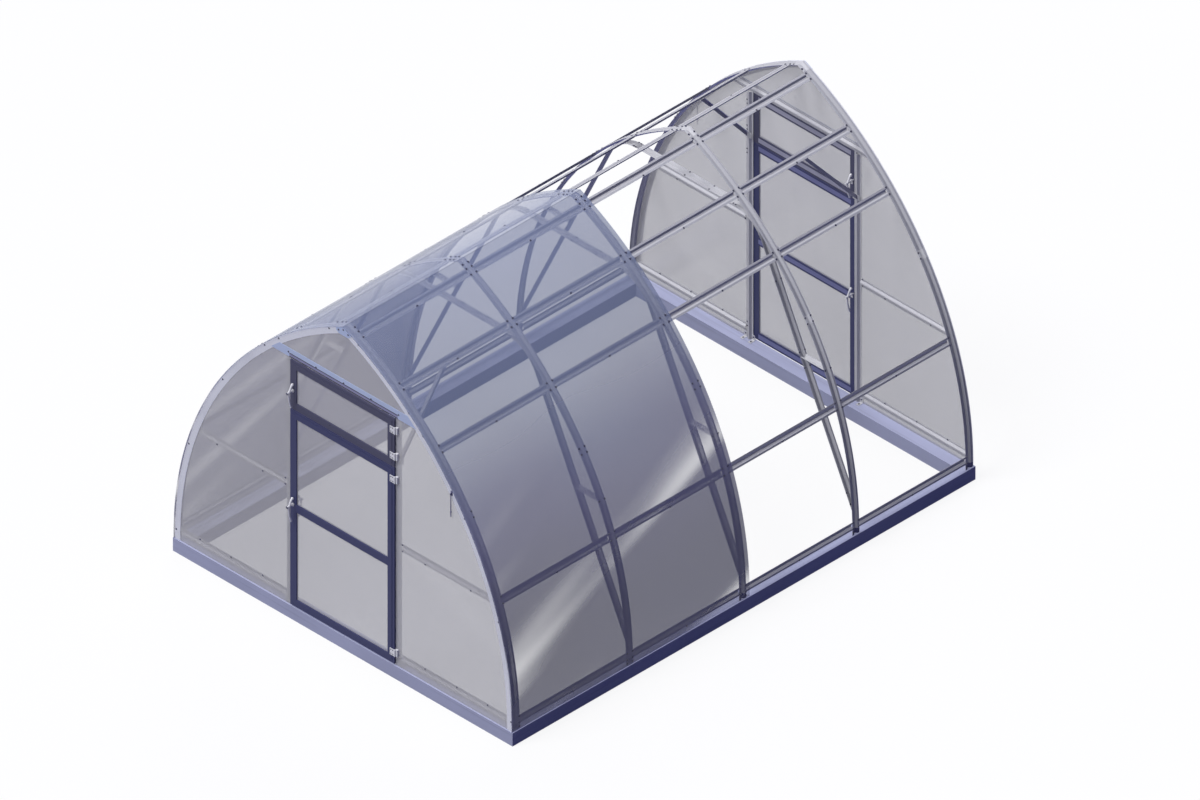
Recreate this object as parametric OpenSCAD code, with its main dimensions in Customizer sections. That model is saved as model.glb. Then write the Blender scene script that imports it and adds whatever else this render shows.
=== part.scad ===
// Gothic-arch greenhouse: pressed steel hat sections on a timber base, sheeted gables with a
// door and a vent leaf at each end, and one bent cover sheet over the front half of the roof.
// X runs across the house, the front gable faces -Y, Z is up and the base stands on Z = 0.

/* [Base] */
// Width over the two side beams
base_w = 3000; // [2600:10:3400]
// Height of the base beams
base_h = 100; // [60:5:150]
// Width of the base beams
beam_w = 100; // [70:5:150]
// Distance from the end arches' centre line to the base's end face
base_end = 45; // [42:1:80]

/* [Arches] */
// Number of arches along the house
arch_count = 5; // [5:1:5]
// Distance between arches
arch_pitch = 1000; // [700:10:1200]
// Distance from the base's side face to the arches' outer face
arch_inset = 12; // [6:1:30]
// Height of the straight foot of each arch
foot_h = 36; // [10:2:80]
// Rise of the arches from the top of the foot to the ridge
arch_rise = 2320; // [2100:10:2500]
// Height of the splice in each arch side
splice_h = 1530; // [1300:10:1700]
// Gap between the two lengths at a splice and between the two sides at the ridge
arch_joint = 2; // [1:0.5:5]
// Length of the saddle over a splice
splice_l = 60; // [40:2:120]
// Length of each side of the saddle at the ridge
ridge_saddle_l = 62; // [40:2:66]

/* [Hat section] */
// Width of the section's crown, which faces into the house
hat_crown = 12; // [9:1:18]
// Width of each flange, on which the sheets lie
hat_flange = 12.5; // [9:0.5:18]
// Sideways lean of each flank
hat_lean = 11.5; // [8:0.5:14]
// Depth of the section
hat_d = 15; // [12:0.5:20]
// Thickness of the steel
steel_t = 1.5; // [1:0.1:2]
// Clearance between pieces that lie on one another
lap_gap = 0.3; // [0.2:0.05:0.6]

/* [Inner frames] */
// Flange of the inner legs' section
leg_flange = 10.5; // [8:0.5:14]
// Height where the inner leg meets the arch
leg_foot_z = 290; // [220:10:400]
// Height of the collar tie's seat
tie_z = 2110; // [2000:5:2160]
// Bend radius at the knee of the inner leg
knee_r = 290; // [240:10:320]
// Depth of the knee below the arch's outer face
knee_depth = 18; // [17:1:40]
// How far the collar tie laps over the end of each knee
tie_lap = 34; // [20:2:60]
// Height of the strut between the leg and the arch
strut_z = 1234; // [1100:2:1400]
// Flange of the struts' section
strut_flange = 7.5; // [5:0.5:12]

/* [Purlins] */
// Height of the bottom rails
bottom_z = 172; // [168:2:240]
// Height of the side purlins
side_z = 1007; // [850:10:1150]
// Height of the shoulder purlins
shoulder_z = 1887; // [1750:5:1950]
// Height of the upper purlins
upper_z = 2192; // [2150:5:2260]
// Distance of the ridge purlins from the ridge, along the arch
ridge_off = 100; // [98:2:140]

/* [Cover] */
// Thickness of the sheets
sheet_t = 4; // [3:0.5:8]
// Width of the cover sheet along the house
cover_l = 2100; // [1800:10:2100]

/* [Gables] */
// Distance from the centre line to the centre of each door post
post_x = 477; // [400:1:540]
// Distance from a post's centre to the edge of the side panel on it
panel_lap = 13; // [10:1:16]
// Distance from the arch's outer face to the end of the lintel strip
lintel_end = 33; // [15:1:40]
// Lowest edge of the lintel strip
lintel_z = 1992; // [1900:2:2010]
// Height of the lintel strip
lintel_h = 66; // [50:2:90]
// Height of the gable mid rails
mid_rail_z = 1020; // [850:10:1150]
// Width of the edge strip that clamps the panels to the arch
strip_w = 45; // [30:1:60]
// Thickness of the edge strip and of the lintel strip
strip_t = 1.5; // [1:0.5:2]
// Width of the plate at the gable's peak
peak_w = 132; // [100:2:180]
// Height of the plate at the gable's peak
peak_h = 66; // [50:2:90]
// Thickness of the peak plate
peak_t = 3; // [2:0.5:5]

/* [Doors and vents] */
// Clearance between a leaf and what is above, below or behind it
leaf_gap = 6; // [5:0.5:10]
// Distance from a post's centre to the leaf's edge
leaf_reveal = 17; // [17:0.5:22]
// Thickness of the leaf frames
leaf_t = 16; // [14:1:20]
// Width of the stiles and rails
stile_w = 58; // [45:1:70]
// Width of the recessed margin round a leaf
margin_w = 21; // [12:1:26]
// Depth of the recessed margin
margin_d = 3; // [1:0.5:5]
// Clearance below the door
sill_gap = 15; // [8:1:30]
// Height of the top of the door
door_top = 1610; // [1500:5:1650]
// Centre height of the door's mid rail
door_mid = 870; // [700:5:1000]
// Depth of the groove that holds a leaf's sheet
groove_d = 10; // [6:1:14]

/* [Hinges] */
// Height of a hinge
hinge_h = 50; // [40:1:70]
// Radius of the knuckle
knuckle_r = 6; // [5:0.5:8]
// Radius of the pin
pin_r = 3; // [2:0.25:4]
// Radial clearance of the pin in the turning knuckle
pin_gap = 0.1; // [0.05:0.01:0.2]
// Width of the plate on the leaf
hinge_leaf_w = 36; // [25:1:45]
// Width of the block on the post
hinge_block_w = 18; // [12:1:24]
// Thickness of the plate on the leaf
hinge_t = 3; // [2:0.5:4]
// Distance from a leaf's end to its hinge's centre
hinge_in = 86; // [60:1:120]

/* [Latches] */
// Height of the door latch
latch_z = 892; // [800:2:1100]
// Height of the vent latch above the vent's lower edge
vent_latch_up = 146; // [100:2:200]
// Radius of the spindle
spindle_r = 5; // [4:0.5:6]
// Reach of the lever's neck from the leaf
neck_l = 46; // [35:1:60]
// Radius of the lever
lever_r = 6; // [4.5:0.5:8]
// Length of the lever
lever_l = 118; // [80:2:150]
// Radius of the lever's gentle bow
lever_bow = 330; // [250:10:600]

/* [Braces and hooks] */
// Height where the brace meets the post
brace_z = 1665; // [1500:5:1750]
// How far along the house a brace reaches
brace_reach = 430; // [300:10:600]
// Leg of the brace's angle section
brace_leg = 22; // [16:1:30]
// Height of the wind hook's eye
hook_z = 1660; // [1500:10:1800]
// Length of the wind hook
hook_l = 170; // [120:5:220]

/* [Hidden] */
$fn = 48;
cut = 4 * base_w;
half_l = (arch_count - 1) * arch_pitch / 2;
base_l = 2 * (half_l + base_end);

// The arch's outer face: one arc a side, upright at the top of the foot
half_w = base_w / 2 - arch_inset;
arch_r = (half_w * half_w + arch_rise * arch_rise) / (2 * half_w);
arch_c = arch_r - half_w;
spring_z = base_h + foot_h;
ridge_a = acos(arch_c / arch_r);
splice_a = asin((splice_h - spring_z) / arch_r);
function rise_angle(z) = asin((z - spring_z) / arch_r);
function arc_angle(length) = length * 180 / (PI * arch_r);
function arch_x(r, z) = sqrt(r * r - (z - spring_z) * (z - spring_z)) - arch_c;

// Hat sections: width over the flanges, and the flank's thickness measured across
hat_w = hat_crown + 2 * hat_lean + 2 * hat_flange;
flank_t = steel_t * norm([hat_lean, hat_d - steel_t]) / (hat_d - steel_t);
// One section lying in another: how far it is lifted, and how much narrower its crown is a side
lift = steel_t + lap_gap;
nest = flank_t - hat_lean * lift / (hat_d - steel_t) + lap_gap;

// Inner frames: the arch's crown lies in the leg's lower end, and the knee passes under the arch
leg_crown = hat_crown + 2 * nest;
leg_tilt = 20;
leg_foot_r = arch_r - hat_d - 2 * lap_gap + (hat_d - steel_t) * cos(leg_tilt);
leg_foot_x = arch_x(leg_foot_r, leg_foot_z);
knee_lift = knee_r * (1 / cos(32) - 1) - knee_depth;
knee_x = arch_x(arch_r + knee_lift, tie_z);
leg_run = norm([leg_foot_x - knee_x, tie_z - leg_foot_z]);
leg_a = atan2(tie_z - leg_foot_z, leg_foot_x - knee_x);
knee_t = knee_r * tan(leg_a / 2);
leg_l = leg_run - knee_t;
knee_end_x = knee_x - knee_t;
tie_l = 2 * (knee_end_x + tie_lap);

// Gable planes, measured outwards from the end arch's centre line
panel_back = hat_w / 2;
panel_front = panel_back + sheet_t;
strip_back = panel_front + lap_gap;
strip_front = strip_back + strip_t;
lintel_back = strip_front + lap_gap;
lintel_front = lintel_back + strip_t;
leaf_back = panel_back + leaf_gap - 1;
leaf_front = leaf_back + leaf_t;
panel_r = arch_r - lap_gap;
rail_r = arch_r - hat_d / 2;

// Leaves: they overlap the posts' inner flanges, which stop them
leaf_x = post_x - leaf_reveal;
door_z0 = base_h + sill_gap;
vent_z0 = door_top + leaf_gap;
vent_z1 = lintel_z - leaf_gap;
hinge_x = leaf_x + knuckle_r + 0.5;
hinge_y = leaf_front + 0.5;
latch_x = -(leaf_x - stile_w / 2);
header_z = lintel_z + lintel_h / 2;

steel = [0.62, 0.64, 0.76];
strip_blue = [0.60, 0.65, 0.84];
navy = [0.14, 0.15, 0.32];
beam_blue = [0.48, 0.51, 0.68];
sheet_grey = [0.70, 0.71, 0.74, 0.55];
cover_blue = [0.60, 0.63, 0.75, 0.55];
pale = [0.86, 0.86, 0.90];

// Section outline: first value across the bar, second inwards from the flanges' outer face
function hat_side(crown, flange) = [
  [crown / 2, -hat_d],
  [crown / 2 + hat_lean, -steel_t],
  [crown / 2 + hat_lean + flange, -steel_t],
  [crown / 2 + hat_lean + flange, 0],
  [crown / 2 + hat_lean * hat_d / (hat_d - steel_t) - flank_t, 0],
  [crown / 2 + hat_lean * steel_t / (hat_d - steel_t) - flank_t, steel_t - hat_d]
];
function hat_outline(crown, flange) =
  let (right = hat_side(crown, flange))
  concat(right, [for (k = [len(right) - 1 : -1 : 0]) [-right[k][0], right[k][1]]]);
arch_hat = hat_outline(hat_crown, hat_flange);
saddle_hat = hat_outline(hat_crown - 2 * nest, hat_flange + nest);
leg_hat = hat_outline(leg_crown, leg_flange);
tie_hat = hat_outline(leg_crown - 2 * nest, leg_flange + nest);
strut_hat = hat_outline(hat_crown, strut_flange);

// A bar along +Y in a flat drawing, flanges facing +X, and the same section round an arc
module bar(outline, length) {
  rotate([-90, 0, 0]) linear_extrude(length) polygon([for (p = outline) [p[1], p[0]]]);
}
module bend(outline, r, angle) {
  rotate_extrude(angle = angle, $fn = 180) polygon([for (p = outline) [r + p[1], p[0]]]);
}
// Stands a drawing upright across the house: drawing Y becomes up, drawing Z becomes -Y
module upright(y) {
  translate([0, y, 0]) rotate([90, 0, 0]) children();
}
// The drawing's origin at the centre of the right-hand arc
module arc_centre() {
  translate([-arch_c, spring_z, 0]) children();
}
module right_half(gap) {
  difference() {
    children();
    translate([gap / 2 - cut, -cut / 2, -cut / 2]) cube(cut);
  }
}
module both_sides() {
  children();
  mirror([1, 0, 0]) children();
}
// Front gable as drawn, or turned half round for the rear one; Y = 0 at the arch's centre line
module gable(end) {
  rotate([0, 0, end == "rear" ? 180 : 0]) translate([0, -half_l, 0]) children();
}
// Plate on a gable plane: [x0, x1], [z0, z1], and its two distances outwards
module plate(xs, zs, back, front) {
  translate([xs[0], -front, zs[0]]) cube([xs[1] - xs[0], front - back, zs[1] - zs[0]]);
}
// Everything inside the arch's outline at a radius, for trimming panels and rails
module arch_fill(r) {
  intersection_for (side = [0, 1])
    mirror([side, 0, 0]) translate([-arch_c, 0, spring_z])
      rotate([90, 0, 0]) cylinder(r = r, h = cut / 4, center = true, $fn = 720);
}

// Base
module base_beam(length, y_face) {
  color(beam_blue)
    rotate([0, 0, y_face]) linear_extrude(base_h)
      polygon([[-length / 2, 0], [length / 2, 0],
               [length / 2 - beam_w, beam_w], [beam_w - length / 2, beam_w]]);
}
module base_front_beam() { translate([0, -base_l / 2, 0]) base_beam(base_w, 0); }
module base_rear_beam() { translate([0, base_l / 2, 0]) base_beam(base_w, 180); }
module base_left_beam() { translate([-base_w / 2, 0, 0]) base_beam(base_l, -90); }
module base_right_beam() { translate([base_w / 2, 0, 0]) base_beam(base_l, 90); }

// Arches: each side is a lower and an upper length with a joint between them
module arch_side() {
  joint_a = arc_angle(arch_joint);
  arc_centre() {
    union() {
      translate([arch_r, -foot_h, 0]) bar(arch_hat, foot_h);
      bend(arch_hat, arch_r, splice_a - joint_a / 2);
    }
    rotate([0, 0, splice_a + joint_a / 2])
      bend(arch_hat, arch_r, ridge_a - splice_a + joint_a);
  }
}
module arch(index) {
  color(steel) upright(index * arch_pitch - half_l) both_sides() right_half(arch_joint) arch_side();
}
module front_arch() { arch(0); }
module second_arch() { arch(1); }
module middle_arch() { arch(2); }
module fourth_arch() { arch(3); }
module rear_arch() { arch(4); }

// Saddles that lie in the arches over their splices, feet and ridge
module saddle_arc(from_a, to_a) {
  arc_centre() rotate([0, 0, from_a]) bend(saddle_hat, arch_r + lift, to_a - from_a);
}
module each_arch() {
  for (index = [0 : arch_count - 1]) upright(index * arch_pitch - half_l) children();
}
module splice_saddles() {
  half_a = arc_angle(splice_l) / 2;
  color(pale) each_arch() both_sides() saddle_arc(splice_a - half_a, splice_a + half_a);
}
module ridge_saddles() {
  color(pale) each_arch() both_sides() right_half(0)
    saddle_arc(ridge_a - arc_angle(ridge_saddle_l), ridge_a + arc_angle(hat_d));
}
module foot_shoes() {
  color(navy) each_arch() both_sides()
    arc_centre() translate([arch_r + lift, -foot_h, 0]) bar(saddle_hat, foot_h);
}

// Inner legs with their bent knees, and the ties that lie over the knees' ends
module inner_leg() {
  translate([knee_end_x, tie_z - knee_r, 0]) {
    rotate([0, 0, 90 - leg_a]) {
      bend(leg_hat, knee_r, leg_a);
      translate([knee_r, -leg_l, 0]) bar(leg_hat, leg_l);
    }
  }
}
module inner_legs(index) {
  color(steel) upright(index * arch_pitch - half_l) both_sides() inner_leg();
}
module second_arch_legs() { inner_legs(1); }
module middle_arch_legs() { inner_legs(2); }
module fourth_arch_legs() { inner_legs(3); }
module collar_ties() {
  color(steel)
    for (index = [1 : arch_count - 2]) upright(index * arch_pitch - half_l)
      rotate([0, 0, 90]) translate([tie_z + lift, -tie_l / 2, 0]) bar(tie_hat, tie_l);
}

// Level struts from the legs' flanges to the arches' crowns
module leg_strut() {
  intersection() {
    difference() {
      rotate([0, 0, 90]) translate([strut_z, -base_w / 2, 0]) bar(strut_hat, base_w / 2);
      translate([knee_end_x, tie_z - knee_r, 0]) rotate([0, 0, 90 - leg_a])
        translate([knee_r + lap_gap - cut, -cut / 2, -cut / 2]) cube(cut);
    }
    arc_centre() cylinder(r = arch_r - hat_d - lap_gap, h = cut / 4, center = true, $fn = 720);
  }
}
module leg_struts() {
  color(steel) for (index = [1 : arch_count - 2])
    upright(index * arch_pitch - half_l) both_sides() leg_strut();
}

// Purlins: a length in each bay, whose flanges run on over the flanges of the arches at its ends
module purlin() {
  reach = hat_w / 2 - hat_flange + lap_gap;
  clear = hat_w / 2 + lap_gap;
  flange_x = hat_w / 2 - hat_flange;
  translate([0, clear, 0]) bar(arch_hat, arch_pitch - 2 * clear);
  for (side = [0, 1]) mirror([0, 0, side])
    translate([-steel_t, reach, flange_x]) cube([steel_t, arch_pitch - 2 * reach, hat_flange]);
}
module purlin_line(angle) {
  color(steel)
    for (bay = [0 : arch_count - 2]) both_sides()
      translate([-arch_c, bay * arch_pitch - half_l, spring_z])
        rotate([0, -angle, 0]) translate([arch_r + lift, 0, 0]) purlin();
}
module bottom_rails() { purlin_line(rise_angle(bottom_z)); }
module side_purlins() { purlin_line(rise_angle(side_z)); }
module shoulder_purlins() { purlin_line(rise_angle(shoulder_z)); }
module upper_purlins() { purlin_line(rise_angle(upper_z)); }
module ridge_purlins() { purlin_line(ridge_a - arc_angle(ridge_off)); }

// Cover: one sheet a side over the front half, standing on the base
module cover_side() {
  cover_r = arch_r + lift + 2 * lap_gap;
  color(cover_blue)
    upright(cover_l - half_l - base_end) right_half(arch_joint) arc_centre() {
      translate([cover_r, -foot_h, 0]) cube([sheet_t, foot_h, cover_l]);
      rotate_extrude(angle = ridge_a + arc_angle(sheet_t), $fn = 180)
        translate([cover_r, 0]) square([sheet_t, cover_l]);
    }
}
module cover_right() { cover_side(); }
module cover_left() { mirror([1, 0, 0]) cover_side(); }

// Gable frame
// Flanges face outwards, against the panels
module post(x) {
  translate([x, -panel_back, base_h]) rotate([0, 0, 180])
    linear_extrude(lintel_z - base_h) polygon(arch_hat);
}
module rail(x0, x1, z) {
  translate([x0, -panel_back, z]) rotate([0, 90, 0]) rotate([0, 0, 180])
    linear_extrude(x1 - x0) polygon(arch_hat);
}
module posts() {
  color(steel) both_sides() post(post_x);
}
module rails() {
  outer = base_w / 2;
  inner = post_x + hat_w / 2 + lap_gap;
  color(steel) intersection() {
    union() {
      both_sides() {
        rail(inner, outer, bottom_z);
        rail(inner, outer, mid_rail_z);
      }
      rail(-outer, outer, header_z);
    }
    arch_fill(rail_r);
  }
}
module lintel() {
  color(strip_blue) intersection() {
    plate([-post_x * 2, post_x * 2], [lintel_z, lintel_z + lintel_h], lintel_back, lintel_front);
    arch_fill(arch_r - lintel_end);
  }
}
module edge_strips() {
  // Angle strip: one leg in front of the panels, one over their edges
  outer_r = arch_r + lap_gap + strip_t;
  tail = panel_back + lap_gap;
  foot_a = asin(foot_h / outer_r);
  outline = [
    [outer_r, tail],
    [outer_r, strip_front],
    [arch_r - strip_w, strip_front],
    [arch_r - strip_w, strip_back],
    [outer_r - strip_t, strip_back],
    [outer_r - strip_t, tail]
  ];
  color(strip_blue) upright(0) both_sides() right_half(arch_joint) arc_centre()
    rotate([0, 0, -foot_a])
      rotate_extrude(angle = ridge_a + foot_a + 1, $fn = 180) polygon(outline);
}
module peak_plate() {
  // Its upper edges follow the strips to the ridge
  top = spring_z + arch_rise;
  drop = peak_w / 2 * arch_c / arch_rise;
  toe = peak_w * 0.3;
  translate([0, -strip_front - lap_gap, top]) rotate([90, 0, 0]) linear_extrude(peak_t)
    polygon([[0, 0], [peak_w / 2, -drop], [peak_w / 2, -drop - peak_h * 0.25], [toe, -peak_h],
             [-toe, -peak_h], [-peak_w / 2, -drop - peak_h * 0.25], [-peak_w / 2, -drop]]);
}
module peak_plates() {
  color(strip_blue) for (end = ["front", "rear"]) gable(end) peak_plate();
}

// Gable sheets
module side_panels() {
  color(sheet_grey) intersection() {
    both_sides()
      plate([post_x - panel_lap, base_w / 2], [base_h, header_z - 2], panel_back, panel_front);
    arch_fill(panel_r);
  }
}
module peak_panel() {
  color(sheet_grey) intersection() {
    plate([-base_w / 2, base_w / 2], [header_z + 2, header_z + arch_rise], panel_back, panel_front);
    arch_fill(panel_r);
  }
}

// Leaf frame between two heights, with a recessed margin and grooves for its sheets
module leaf_frame(z0, z1, mids, spindle_z) {
  inner_x = leaf_x - stile_w;
  rails = concat([z0 + stile_w / 2], mids, [z1 - stile_w / 2]);
  color(navy) difference() {
    union() {
      leaf_ring(z0, z1, 0, stile_w, leaf_front - margin_d);
      leaf_ring(z0, z1, margin_w, stile_w - margin_w, leaf_front);
      for (z = mids)
        plate([-inner_x, inner_x], [z - stile_w / 2, z + stile_w / 2], leaf_back, leaf_front);
    }
    for (k = [0 : len(rails) - 2])
      leaf_sheet(rails[k] + stile_w / 2, rails[k + 1] - stile_w / 2, lap_gap);
    translate([latch_x, 0, spindle_z]) rotate([90, 0, 0]) cylinder(r = spindle_r + pin_gap, h = leaf_front + 1);
  }
}
module leaf_ring(z0, z1, inset, width, front) {
  x = leaf_x - inset;
  difference() {
    plate([-x, x], [z0 + inset, z1 - inset], leaf_back, front);
    plate([width - x, x - width], [z0 + inset + width, z1 - inset - width], leaf_back - 1, front + 1);
  }
}
// Sheet held in the grooves between two rails
module leaf_sheet(z0, z1, gap) {
  x = leaf_x - stile_w + groove_d + gap;
  back = leaf_back + (leaf_t - margin_d - sheet_t) / 2;
  plate([-x, x], [z0 - groove_d - gap, z1 + groove_d + gap], back - gap, back + sheet_t + gap);
}
module door_frame() { leaf_frame(door_z0, door_top, [door_mid], latch_z); }
module door_sheets() {
  color(sheet_grey) {
    leaf_sheet(door_z0 + stile_w, door_mid - stile_w / 2, 0);
    leaf_sheet(door_mid + stile_w / 2, door_top - stile_w, 0);
  }
}
module vent_frame() { leaf_frame(vent_z0, vent_z1, [], vent_z0 + vent_latch_up); }
module vent_sheet() { color(sheet_grey) leaf_sheet(vent_z0 + stile_w, vent_z1 - stile_w, 0); }

// Hinges: a block with two knuckles and the pin on the post, a plate with one knuckle on the leaf
vent_hinges = [vent_z0 + hinge_in, vent_z1 - hinge_in];
door_hinges = [door_z0 + hinge_in, door_top - hinge_in];
turn_h = hinge_h / 3;
module at_hinge(z) {
  translate([hinge_x, -hinge_y, z]) children();
}
module hinge_sleeve(r, h) {
  cylinder(r = r, h = h, center = true);
}
module hinge_block() {
  sweep_r = knuckle_r + 1;
  depth = hinge_y - panel_front;
  difference() {
    union() {
      hinge_sleeve(knuckle_r, hinge_h);
      translate([0, knuckle_r / 2, -hinge_h / 2])
        cube([hinge_block_w, depth - knuckle_r / 2, hinge_h]);
    }
    hinge_sleeve(sweep_r, turn_h);
  }
  hinge_sleeve(pin_r, hinge_h);
}
module hinge_leaf() {
  sweep_r = knuckle_r + 1;
  free_h = turn_h - 1;
  difference() {
    union() {
      hinge_sleeve(knuckle_r, free_h);
      translate([-hinge_leaf_w - knuckle_r, hinge_y - leaf_front - hinge_t, -hinge_h / 2])
        cube([hinge_leaf_w + knuckle_r, hinge_t, hinge_h]);
    }
    for (side = [-1, 1])
      translate([0, 0, side * (free_h / 2 + hinge_h / 2)]) hinge_sleeve(sweep_r, hinge_h);
    hinge_sleeve(pin_r + pin_gap, hinge_h);
  }
}
module hinges() {
  color(pale) {
    for (z = concat(vent_hinges, door_hinges)) at_hinge(z) hinge_block();
    for (z = vent_hinges) at_hinge(z) hinge_leaf();
  }
}
module leaf_hinges() {
  color(pale) for (z = door_hinges) at_hinge(z) hinge_leaf();
}

// Latch: levers on both sides of one spindle, and the cam that turns behind the post
hub_r = 2.2 * spindle_r;
hub_l = 6;
cam_t = 3;
cam_gap = 5;
cam_l = stile_w / 2 - cam_gap;
module lever(reach) {
  // Drawn with the neck along +Z and the lever hanging towards -Y
  cylinder(r = hub_r, h = hub_l);
  cylinder(r = lever_r * 0.85, h = reach);
  translate([0, 0, reach]) cylinder(r = lever_r * 1.15, h = lever_r * 1.5);
  bow_a = lever_l * 180 / (PI * lever_bow);
  translate([0, 0, reach - lever_r - lever_bow]) rotate([0, 90, 0]) rotate([0, 0, 180])
    rotate_extrude(angle = bow_a, $fn = 120) translate([lever_bow, 0]) circle(lever_r, $fn = 24);
  translate([0, -lever_bow * sin(bow_a), reach - lever_r - lever_bow * (1 - cos(bow_a))])
    sphere(lever_r * 1.15, $fn = 24);
}
module latch(z) {
  cam_front = panel_back - steel_t - cam_gap;
  inner_face = cam_front - cam_t;
  color(pale) translate([latch_x, 0, z]) {
    translate([0, -leaf_front - 0.5, 0]) rotate([90, 0, 0]) lever(neck_l);
    translate([0, -inner_face, 0]) rotate([-90, 0, 0]) mirror([0, 1, 0]) lever(neck_l);
    translate([0, -inner_face, 0]) rotate([90, 0, 0])
      cylinder(r = spindle_r, h = leaf_front + 1 - inner_face);
    translate([-hub_r * 0.8, -cam_front, -cam_l]) cube([hub_r * 1.6, cam_t, cam_l]);
  }
}
module door_latch() { latch(latch_z); }
module vent_latch() { latch(vent_z0 + vent_latch_up); }

// Braces from the posts' backs to the undersides of the upper purlins
module brace() {
  upper_a = rise_angle(upper_z);
  seat_r = arch_r + lift - hat_d - lap_gap;
  foot = [post_x, hat_d + lap_gap - panel_back, brace_z];
  head = [seat_r * cos(upper_a) - arch_c, brace_reach, spring_z + seat_r * sin(upper_a)];
  run = head - foot;
  length = norm(run);
  intersection() {
    union() {
      translate(foot) rotate([0, acos(run[2] / length), atan2(run[1], run[0])])
        translate([0, 0, -brace_leg]) linear_extrude(length + 2 * brace_leg)
          difference() {
            square(brace_leg, center = true);
            translate([steel_t, steel_t]) square(brace_leg, center = true);
          }
      translate(foot) translate([-hat_w / 2, 0, -brace_leg]) cube([hat_w, strip_t, 2 * brace_leg]);
      translate([-arch_c, brace_reach - brace_leg, spring_z]) rotate([0, -upper_a, 0])
        translate([seat_r - strip_t, 0, -hat_w / 2]) cube([strip_t, 2 * brace_leg, hat_w]);
    }
    translate([-base_w / 2, foot[1], 0]) cube([base_w, half_l, cut]);
    translate([-arch_c, 0, spring_z]) rotate([0, -upper_a, 0])
      translate([seat_r - cut, -cut / 2, -cut / 2]) cube(cut);
  }
}
module gable_braces() {
  color(steel) for (end = ["front", "rear"]) gable(end) both_sides() brace();
}

// Wind hooks that hang on the edge strips beside the hinges
module wind_hook() {
  rod_r = 3;
  eye_r = 8;
  plate_h = 36;
  hook_x = arch_x(arch_r - strip_w / 2, hook_z);
  stand = strip_front + strip_t / 2 + eye_r;
  plate([hook_x - eye_r, hook_x + eye_r], [hook_z - plate_h / 2, hook_z + plate_h / 2],
        strip_front, strip_front + strip_t);
  translate([hook_x, -stand, hook_z]) {
    rotate([90, 0, 90]) rotate_extrude() translate([eye_r - rod_r, 0]) circle(rod_r);
    translate([0, 0, -hook_l]) cylinder(r = rod_r, h = hook_l);
    translate([0, 0, -hook_l * 0.8]) sphere(rod_r * 2);
    translate([0, 0, -hook_l]) sphere(rod_r * 1.3);
  }
}
module wind_hooks() {
  color(navy) for (end = ["front", "rear"]) gable(end) wind_hook();
}

base_front_beam();
base_rear_beam();
base_left_beam();
base_right_beam();
front_arch();
second_arch();
middle_arch();
fourth_arch();
rear_arch();
splice_saddles();
ridge_saddles();
foot_shoes();
second_arch_legs();
middle_arch_legs();
fourth_arch_legs();
collar_ties();
leg_struts();
bottom_rails();
side_purlins();
shoulder_purlins();
upper_purlins();
ridge_purlins();
cover_left();
cover_right();
gable_braces();
wind_hooks();
peak_plates();
gable("front") posts();  // front_posts
gable("front") rails();  // front_rails
gable("front") lintel();  // front_lintel
gable("front") edge_strips();  // front_edge_strips
gable("front") side_panels();  // front_side_panels
gable("front") peak_panel();  // front_peak_panel
gable("front") vent_frame();  // front_vent_frame
gable("front") vent_sheet();  // front_vent_sheet
gable("front") vent_latch();  // front_vent_latch
gable("front") hinges();  // front_hinges
gable("front") door_frame();  // front_door_frame
gable("front") door_sheets();  // front_door_sheets
gable("front") leaf_hinges();  // front_door_hinges
gable("front") door_latch();  // front_door_latch
gable("rear") posts();  // rear_posts
gable("rear") rails();  // rear_rails
gable("rear") lintel();  // rear_lintel
gable("rear") edge_strips();  // rear_edge_strips
gable("rear") side_panels();  // rear_side_panels
gable("rear") peak_panel();  // rear_peak_panel
gable("rear") vent_frame();  // rear_vent_frame
gable("rear") vent_sheet();  // rear_vent_sheet
gable("rear") vent_latch();  // rear_vent_latch
gable("rear") hinges();  // rear_hinges
gable("rear") door_frame();  // rear_door_frame
gable("rear") door_sheets();  // rear_door_sheets
gable("rear") leaf_hinges();  // rear_door_hinges
gable("rear") door_latch();  // rear_door_latch
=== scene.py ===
"""Gothic-arch greenhouse: finishes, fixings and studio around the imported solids.

Laid out as an add-on: each operator makes one group of like pieces, and the panel lists them in order.
Lengths are metres, X runs across the house, the front gable faces -Y and the base stands on Z = 0.
"""

import math
from itertools import product

import bmesh
import bpy
from mathutils import Matrix, Vector


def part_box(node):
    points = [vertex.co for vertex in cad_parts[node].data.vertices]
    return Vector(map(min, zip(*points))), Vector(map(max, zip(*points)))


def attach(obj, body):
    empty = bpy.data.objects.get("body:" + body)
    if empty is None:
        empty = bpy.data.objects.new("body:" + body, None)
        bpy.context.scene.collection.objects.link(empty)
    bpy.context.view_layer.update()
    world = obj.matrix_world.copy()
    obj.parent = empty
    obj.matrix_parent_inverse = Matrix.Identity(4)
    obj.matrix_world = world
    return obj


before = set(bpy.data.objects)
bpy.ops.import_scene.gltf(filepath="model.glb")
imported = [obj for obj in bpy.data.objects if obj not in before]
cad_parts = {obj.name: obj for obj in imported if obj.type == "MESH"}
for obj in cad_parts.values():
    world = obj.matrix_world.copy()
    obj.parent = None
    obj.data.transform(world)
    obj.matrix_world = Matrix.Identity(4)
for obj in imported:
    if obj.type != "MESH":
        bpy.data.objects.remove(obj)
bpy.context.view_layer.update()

bl_info = {
    "name": "Greenhouse finishes",
    "version": (1, 0, 0),
    "blender": (4, 5, 0),
    "location": "View3D > Sidebar > Greenhouse",
    "description": "Paints the greenhouse, adds its fixings and sets up a studio",
    "category": "Object",
}

# Share of the lamps' light that each face of a clear sheet lets through
LAMP_SHARE = 0.8

# Share of a coat's colour that bounced light loses, so that the inside of a trough stays dark
BOUNCE_LOSS = 0.75

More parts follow.
